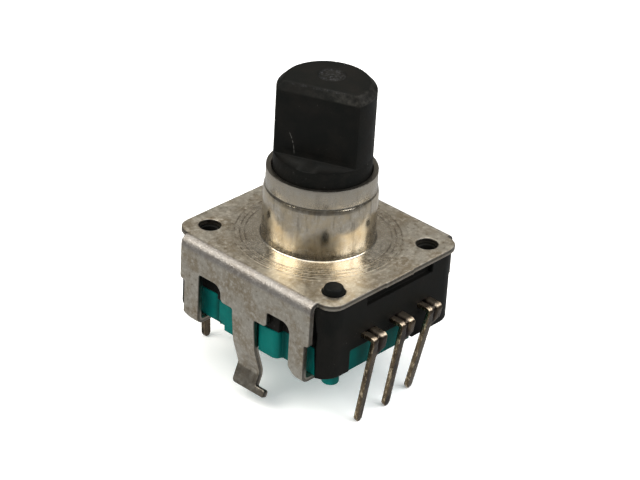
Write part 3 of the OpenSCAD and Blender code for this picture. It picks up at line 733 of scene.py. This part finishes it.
def cover_steel():
    """Drawn, tarnished sheet steel: blotched, polished round the bushing and rough on the bends."""
    f = Finish("cover_steel", Metallic=1.0)
    blotch = f.noise(1.7, 6, 0.62, bend=0.4)
    mottle = f.noise(0.3, 6, 0.72)
    pits = f.noise(0.11, 4, 0.7)
    grain = f.noise(0.05, 3, 0.6)
    radius = f.radius()
    colour = f.blend(f.span(blotch, 0.38, 0.62), (0.48, 0.45, 0.385), (0.37, 0.315, 0.235))
    colour = f.blend(f.span(mottle, 0.47, 0.66, 0.0, 0.9), colour, (0.62, 0.59, 0.52))
    colour = f.blend(f.span(mottle, 0.45, 0.33, 0.0, 0.7), colour, (0.22, 0.18, 0.13))
    colour = f.blend(f.span(pits, 0.36, 0.28, 0.0, 0.8), colour, (0.09, 0.065, 0.045))
    # round the neck the sheet is drawn bright, and the neck is streaked up and down
    polish = f.span(radius, 5.9, 4.6)
    turn = f.node("ShaderNodeMath", {0: f.y, 1: f.x}, operation="ARCTAN2").outputs[0]
    round_it = f.node("ShaderNodeCombineXYZ", {
        0: f.math("MULTIPLY", turn, NECK_R), 1: f.math("MULTIPLY", f.z, 0.16)})
    streak = f.noise(0.35, 4, 0.6, where=round_it.outputs[0])
    neck = f.math("MULTIPLY", f.span(radius, 3.62, 3.55), f.span(f.z, RIM_TOP - 0.1, RIM_TOP - 0.3))
    colour = f.blend(f.math("MULTIPLY", polish, 0.45), colour, (0.60, 0.54, 0.44))
    streaked = f.math("MULTIPLY", neck, f.span(streak, 0.5, 0.36, 0.0, 0.45))
    colour = f.blend(streaked, colour, (0.20, 0.17, 0.125))
    straw = f.math("MULTIPLY", neck, f.span(f.noise(0.9, 5, 0.65), 0.42, 0.62))
    colour = f.blend(f.math("MULTIPLY", straw, 0.5), colour, (0.56, 0.46, 0.30))
    band = f.span(f.z, RIM_TOP - BAND_H - 0.05, RIM_TOP - BAND_H + 0.05)
    colour = f.blend(f.math("MULTIPLY", band, 0.5), colour, (0.40, 0.38, 0.34))
    colour = f.blend(f.span(f.z, RIM_TOP - 0.045, RIM_TOP - 0.02, 0.0, 0.85), colour, (0.08, 0.075, 0.065))
    # the bends are stretched to a dull orange peel, with bright flecks
    bend = f.math("MULTIPLY", f.span(f.math("ABSOLUTE", f.x), 5.72, 5.95), f.span(f.z, 5.05, 5.4))
    colour = f.blend(f.math("MULTIPLY", bend, 0.7), colour, (0.27, 0.255, 0.25))
    bright = f.math("MULTIPLY", bend, f.span(f.noise(0.13, 3), 0.5, 0.7, 0.0, 0.5))
    colour = f.blend(bright, colour, (0.62, 0.58, 0.54))
    # painted shade along the drawing rings, and painted shade on the lugs below the knee
    patchy = f.span(f.noise(0.8, 4, 0.6), 0.42, 0.6, 0.2, 1.0)
    for ring_r in SHADED_RING_RADII:
        off_ring = f.math("ABSOLUTE", f.math("SUBTRACT", radius, ring_r))
        line = f.math("MULTIPLY", f.span(off_ring, 0.07, 0.02, 0.0, 0.65), patchy)
        colour = f.blend(line, colour, (0.13, 0.10, 0.07))
    knee_shade = f.math("MULTIPLY", f.span(f.z, LUG_SHADE_FROM, LUG_SHADE_FROM - 0.12), 0.6)
    colour = f.blend(knee_shade, colour, (0.17, 0.155, 0.135))
    # the edges are dark where they were sheared, and duller where they broke
    sheared = f.attribute("sheared")
    broken = f.math("MULTIPLY", f.span(sheared, 0.1, 0.4), f.span(sheared, 0.9, 0.6))
    colour = f.blend(f.math("MULTIPLY", f.span(sheared, 0.6, 0.9), 0.75), colour, (0.06, 0.056, 0.05))
    colour = f.blend(f.math("MULTIPLY", broken, 0.55), colour, (0.20, 0.185, 0.16))
    rough = f.span(mottle, 0.3, 0.7, 0.32, 0.46)
    rough = f.math("SUBTRACT", rough, f.math("MULTIPLY", polish, 0.14))
    rough = f.math("SUBTRACT", rough, f.math("MULTIPLY", neck, 0.08))
    rough = f.math("ADD", rough, f.math("MULTIPLY", bend, 0.12))
    rough = f.math("ADD", rough, f.math("MULTIPLY", band, 0.12))
    uneven = f.math("MULTIPLY", mottle, f.span(polish, 0.0, 1.0, 1.0, 0.35))
    peel = f.math("MULTIPLY", bend, f.noise(0.12, 3, 0.6))
    f.bump((grain, 0.0015), (uneven, 0.012), (peel, 0.035))
    return f.connect(Base_Color=colour, Roughness=rough)


def black_plastic(name):
    """Glass-filled black moulding with a fine grain and a brown cast. Gives the finish and its colour."""
    f = Finish(name, Specular_IOR_Level=0.06)
    cloud = f.noise(1.3, 5, 0.6)
    fine = f.noise(0.09, 4, 0.65)
    colour = f.blend(f.span(cloud, 0.35, 0.7), (0.0045, 0.005, 0.0045), (0.0075, 0.007, 0.006))
    specks = f.math("MULTIPLY", f.span(f.noise(0.12, 2, 0.5), 0.70, 0.76), f.span(cloud, 0.5, 0.62, 0.0, 0.6))
    f.bump((fine, 0.004), (cloud, 0.01))
    f.connect(Roughness=f.span(cloud, 0.3, 0.7, 0.40, 0.56))
    return f, f.blend(specks, colour, (0.06, 0.06, 0.055))


def case_plastic():
    f, colour = black_plastic("case_plastic")
    return f.connect(Base_Color=colour)


def shaft_plastic():
    """The shaft's moulding: a hair scratch low on the flat, chips on the ledge, a worn chamfer."""
    f, colour = black_plastic("shaft_plastic")
    ahead = (math.cos(FLAT_ANGLE), math.sin(FLAT_ANGLE))
    out = f.math("ADD", f.math("MULTIPLY", f.x, ahead[0]), f.math("MULTIPLY", f.y, ahead[1]))
    along = f.math("SUBTRACT", f.math("MULTIPLY", f.y, ahead[0]), f.math("MULTIPLY", f.x, ahead[1]))
    up = f.math("SUBTRACT", f.z, FLAT_LOW)
    front = f.span(out, 1.2, 1.3)
    bow = f.math("MULTIPLY", f.math("POWER", f.math("MAXIMUM", up, 0.0), 2.2), 0.14)
    off = f.math("ABSOLUTE", f.math("ADD", f.math("ADD", along, 1.3), bow))
    length = f.math("MULTIPLY", f.span(up, 0.1, 0.4), f.span(up, 1.7, 1.4))
    hair = f.math("MULTIPLY", f.span(off, 0.03, 0.012), length)
    hair = f.math("MULTIPLY", f.math("MULTIPLY", hair, front), f.span(f.noise(0.2, 3), 0.35, 0.6))
    colour = f.blend(f.math("MULTIPLY", hair, 0.5), colour, (0.16, 0.16, 0.15))
    chips = f.math("MULTIPLY", f.span(up, 0.02, -0.02), f.span(f.noise(0.14, 3, 0.6), 0.68, 0.74))
    colour = f.blend(f.math("MULTIPLY", chips, 0.5), colour, (0.10, 0.10, 0.095))
    above, below = f.span(f.z, SHAFT_TOP - 0.62, SHAFT_TOP - 0.5), f.span(f.z, SHAFT_TOP, SHAFT_TOP - 0.06)
    worn = f.math("MULTIPLY", above, below)
    worn = f.math("MULTIPLY", worn, f.span(f.noise(0.4, 6, 0.7), 0.36, 0.7))
    worn = f.math("MULTIPLY", worn, f.span(along, -1.5, 2.2, 0.1, 0.6))
    colour = f.blend(worn, colour, (0.036, 0.034, 0.03))
    sunk = f.span(f.z, SHAFT_TOP - 0.02, SHAFT_TOP - 0.06)
    gate = f.math("MULTIPLY", sunk, f.span(f.radius(), 2.2, 2.1))
    gate = f.math("MULTIPLY", gate, f.span(f.noise(0.16, 5, 0.75), 0.5, 0.66))
    gate = f.math("MULTIPLY", gate, f.span(f.z, SHAFT_TOP - 0.16, SHAFT_TOP - 0.13))
    colour = f.blend(f.math("MULTIPLY", gate, 0.7), colour, (0.05, 0.05, 0.055))
    return f.connect(Base_Color=colour)


def teal_plastic():
    """The base's moulding, with painted shade and some dirt in the corners beside the bulges and in the gap
    under the terminals.
    """
    f = Finish("base_plastic", Specular_IOR_Level=0.05)
    cloud = f.noise(1.1, 4, 0.55)
    fine = f.noise(0.08, 4, 0.6)
    colour = f.blend(f.span(cloud, 0.35, 0.7), (0.0, 0.105, 0.092), (0.0, 0.08, 0.073))
    colour = f.blend(f.span(fine, 0.6, 0.75, 0.0, 0.4), colour, (0.01, 0.17, 0.145))
    # painted shade, with some dirt, in the corners beside the bulges and in the gap under the terminals
    away = f.math("ABSOLUTE", f.y)
    corner = f.math("MULTIPLY", f.span(away, BULGE_Y - 0.15, BULGE_Y + 0.1), f.span(away, 3.3, 2.75))
    corner = f.math("MULTIPLY", corner, f.span(f.math("ABSOLUTE", f.x), 5.9, 5.7))
    shade_and_dirt = f.math("MAXIMUM", f.math("MULTIPLY", corner, 0.75), f.span(f.y, -5.95, -6.15, 0.0, 0.55))
    colour = f.blend(shade_and_dirt, colour, (0.0, 0.02, 0.018))
    f.bump((fine, 0.003))
    return f.connect(Base_Color=colour, Roughness=f.span(cloud, 0.3, 0.7, 0.42, 0.55))


def terminal_brass():
    """Tarnished brass strip with a ragged pale burr on its edges, a painted highlight on its tops, and
    painted shade on its front faces and in its groove.
    """
    f = Finish("terminal_brass", Metallic=1.0)
    blotch = f.noise(0.7, 5, 0.65, where=f.stretched(1.0, 1.0, 0.4))
    fine = f.noise(0.1, 4, 0.65, where=f.stretched(1.0, 1.0, 0.5))
    flecks = f.noise(0.16, 5, 0.7, where=f.stretched(1.0, 1.0, 0.3))
    colour = f.blend(f.span(blotch, 0.42, 0.58), (0.24, 0.18, 0.11), (0.05, 0.04, 0.03))
    colour = f.blend(f.span(fine, 0.55, 0.75, 0.0, 0.6), colour, (0.42, 0.35, 0.25))
    # painted shade on the front faces, a painted highlight on top, and painted shade in the groove between
    # the two ridges
    facing = f.node("ShaderNodeSeparateXYZ", {0: f.node("ShaderNodeNewGeometry").outputs["Normal"]})
    front = f.span(facing.outputs["Y"], -0.6, -0.9)
    colour = f.blend(f.math("MULTIPLY", front, 0.65), colour, (0.045, 0.036, 0.03))
    colour = f.blend(f.span(facing.outputs["Z"], 0.35, 0.7, 0.0, 0.5), colour, (0.52, 0.43, 0.33))
    across = f.node("ShaderNodeMath", {0: f.x, 1: PITCH / 2, 2: -PITCH / 2}, operation="WRAP").outputs[0]
    groove = f.span(f.math("ABSOLUTE", f.math("SUBTRACT", across, STRIP_SHIFT)), 0.17, 0.06)
    groove = f.math("MULTIPLY", groove, f.span(f.z, 1.2, 1.9))
    colour = f.blend(f.math("MULTIPLY", groove, 0.85), colour, (0.02, 0.016, 0.014))
    on_edge = f.span(f.attribute("sheared"), 0.1, 0.4)
    colour = f.blend(f.math("MULTIPLY", on_edge, 0.45), colour, (0.16, 0.115, 0.065))
    # the pale burr also paints the edges' highlight
    burr_and_glint = f.math("MULTIPLY", on_edge, f.span(flecks, 0.52, 0.6))
    colour = f.blend(f.math("MULTIPLY", burr_and_glint, 0.85), colour, (0.80, 0.66, 0.44))
    f.bump((fine, 0.012), (flecks, 0.02))
    return f.connect(Base_Color=colour, Roughness=f.span(blotch, 0.3, 0.7, 0.22, 0.42))


def bright_metal(name, colour, tarnish, rough, brushed):
    """A rolled or plated metal inside the body. brushed is the size of its grain."""
    f = Finish(name, Metallic=1.0)
    grain = f.noise(brushed, 3, 0.6, where=f.stretched(1.0, 8.0, 1.0))
    stain = f.noise(1.2, 5, 0.6)
    mixed = f.blend(f.span(stain, 0.45, 0.75, 0.0, 0.7), colour, tarnish)
    f.bump((grain, 0.002))
    return f.connect(Base_Color=mixed, Roughness=f.span(grain, 0.3, 0.7, rough - 0.06, rough + 0.08))


def pale_plastic(name, colour, shade, rough, grease=0.0):
    """Natural acetal or film, with a faint cloud and, on rubbing faces, grease."""
    f = Finish(name)
    cloud = f.noise(0.9, 4, 0.55)
    fine = f.noise(0.07, 4, 0.6)
    mixed = f.blend(f.span(cloud, 0.35, 0.7), colour, shade)
    wet = f.span(f.noise(0.7, 3, 0.5), 0.5, 0.6, 0.0, grease)
    f.bump((fine, 0.003))
    dry = f.span(cloud, 0.3, 0.7, rough, rough + 0.1)
    return f.connect(Base_Color=mixed, Roughness=f.math("SUBTRACT", dry, wet))


MATERIALS = {
    "cover_steel": cover_steel(),
    "case_plastic": case_plastic(),
    "base_plastic": teal_plastic(),
    "shaft_plastic": shaft_plastic(),
    "washer_plastic": pale_plastic("washer_plastic", (0.80, 0.79, 0.75), (0.70, 0.69, 0.64), 0.5, 0.3),
    "spring_steel": bright_metal("spring_steel", (0.62, 0.61, 0.58), (0.40, 0.37, 0.31), 0.28, 0.12),
    "rotor_plastic": pale_plastic("rotor_plastic", (0.80, 0.79, 0.74), (0.72, 0.70, 0.63), 0.42, 0.2),
    "contact_plating": bright_metal("contact_plating", (0.80, 0.79, 0.76), (0.55, 0.49, 0.38), 0.22, 0.1),
    "terminal_brass": terminal_brass(),
    "wiper_brass": bright_metal("wiper_brass", (0.72, 0.54, 0.27), (0.45, 0.31, 0.15), 0.26, 0.1),
    "dome_steel": bright_metal("dome_steel", (0.66, 0.65, 0.62), (0.48, 0.45, 0.39), 0.2, 0.08),
    "film": pale_plastic("film", (0.60, 0.30, 0.05), (0.48, 0.22, 0.03), 0.3),
    "plunger_plastic": pale_plastic("plunger_plastic", (0.78, 0.77, 0.72), (0.70, 0.68, 0.62), 0.42),
}


# ---------------------------------------------------------------- stage

AIM = Vector((1.82, 1.45, 4.15)) * MM
LAMP_DISTANCE = 300
# the room's brightness by height, from -1 straight down to 1 straight up
ROOM = [(-1.0, 0.56), (-0.3, 0.54), (-0.1, 0.12), (0.2, 0.10), (0.4, 0.2), (1.0, 0.34)]


def aimed(azimuth, elevation, distance):
    """A place that looks at AIM. Azimuth 0 stands in front of -Y, and 90 beside -X."""
    turn = (Matrix.Rotation(math.radians(-azimuth), 4, "Z")
            @ Matrix.Rotation(math.radians(90 - elevation), 4, "X"))
    return Matrix.Translation(AIM) @ turn @ Matrix.Translation((0, 0, distance * MM))


def make_camera():
    """The viewing angle: 48 degrees round from -Y towards -X, 30 above, and rolled a little."""
    roll, distance = 3.49, 156
    data = bpy.data.cameras.new("camera")
    data.lens, data.sensor_width = 141.8, 36
    data.clip_start, data.clip_end = 0.01, 10
    camera = bpy.data.objects.new("camera", data)
    camera.matrix_world = aimed(48.35, 30.23, distance) @ Matrix.Rotation(math.radians(roll), 4, "Z")
    bpy.context.scene.collection.objects.link(camera)
    bpy.context.scene.camera = camera


def softbox(name, azimuth, elevation, width, height, brightness, colour=(1, 1, 1)):
    """A rectangular lamp that looks at the object."""
    data = bpy.data.lights.new(name, "AREA")
    data.shape = "RECTANGLE"
    data.size, data.size_y = width * MM, height * MM
    data.energy = brightness * math.pi * data.size * data.size_y
    data.color = colour
    lamp = bpy.data.objects.new(name, data)
    lamp.matrix_world = aimed(azimuth, elevation, LAMP_DISTANCE)
    bpy.context.scene.collection.objects.link(lamp)


def make_room():
    """A world that is pale above and below, with a dark band along its horizon."""
    world = bpy.data.worlds.new("studio")
    world.use_nodes = True
    tree = world.node_tree
    ramp = tree.nodes.new("ShaderNodeValToRGB")
    apart = tree.nodes.new("ShaderNodeSeparateXYZ")
    height = tree.nodes.new("ShaderNodeMapRange")
    height.inputs["From Min"].default_value = -1.0
    tree.links.new(tree.nodes.new("ShaderNodeTexCoord").outputs["Generated"], apart.inputs[0])
    tree.links.new(apart.outputs["Z"], height.inputs["Value"])
    tree.links.new(height.outputs[0], ramp.inputs[0])
    tree.links.new(ramp.outputs[0], tree.nodes["Background"].inputs["Color"])
    # the ramp starts with two points
    points = ramp.color_ramp.elements
    for up, _ in ROOM[2:]:
        points.new((up + 1) / 2)
    for point, (up, level) in zip(points, ROOM):
        point.position = (up + 1) / 2
        point.color = (level, level, level, 1.0)
    bpy.context.scene.world = world


def make_stage():
    z, half = PIN_LOW - 0.02, 3000
    floor = to_object("floor", from_arrays(
        [(-half, -half, z), (half, -half, z), (half, half, z), (-half, half, z)], [(0, 1, 2, 3)]))
    paper = Finish("paper", Roughness=0.9, Specular_IOR_Level=0.1, Emission_Color=(1, 1, 1, 1),
                   Emission_Strength=0.25)
    cloud = paper.noise(60, 3)
    colour = paper.blend(cloud, (0.90, 0.90, 0.90), (0.92, 0.92, 0.92))
    floor.data.materials.append(paper.connect(Base_Color=colour))
    # the room, not the paper, shows in the metal
    floor.visible_glossy = False
    make_room()
    softbox("top", 48, 80, 320, 320, 2.2)
    softbox("top_behind", 228, 60, 220, 80, 2.6, (1.0, 0.93, 0.80))
    softbox("front_left", 124, 43, 260, 160, 5.7, (1.0, 0.97, 0.90))
    softbox("front_right", -28, 40, 290, 180, 5.0)
    softbox("behind", 228, 22, 260, 120, 0.16, (1.0, 0.86, 0.64))
    bpy.context.scene.view_settings.view_transform = "Standard"


# ---------------------------------------------------------------- assembly

def dress(piece, slot, body="root", replaced=()):
    """The piece with its material, on its body, in place of the CAD nodes that it replaces."""
    piece.data.materials.clear()
    piece.data.materials.append(MATERIALS[slot])
    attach(piece, body)
    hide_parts(*replaced)


make_stage()
make_camera()
dress(make_cover(), "cover_steel", replaced=["cover"])
dress(make_case(), "case_plastic", replaced=["case"])
dress(make_base(), "base_plastic", replaced=["base"])
dress(make_shaft(), "shaft_plastic", "sliding_shaft", ["shaft"])
for letter, step, lean in (("a", -1, 9.0), ("c", 0, 9.0), ("b", 1, 12.4)):
    dress(make_terminal(f"pin_terminal_{letter}", step * PITCH, lean),
          "terminal_brass", replaced=[f"terminal_{letter}"])

SLOT_OF = {part["node"]: part["material_slot"] for part in frame["record"]["subparts"]}
for node, obj in frame["nodes"].items():
    obj.data.materials.clear()
    obj.data.materials.append(MATERIALS[SLOT_OF[node]])
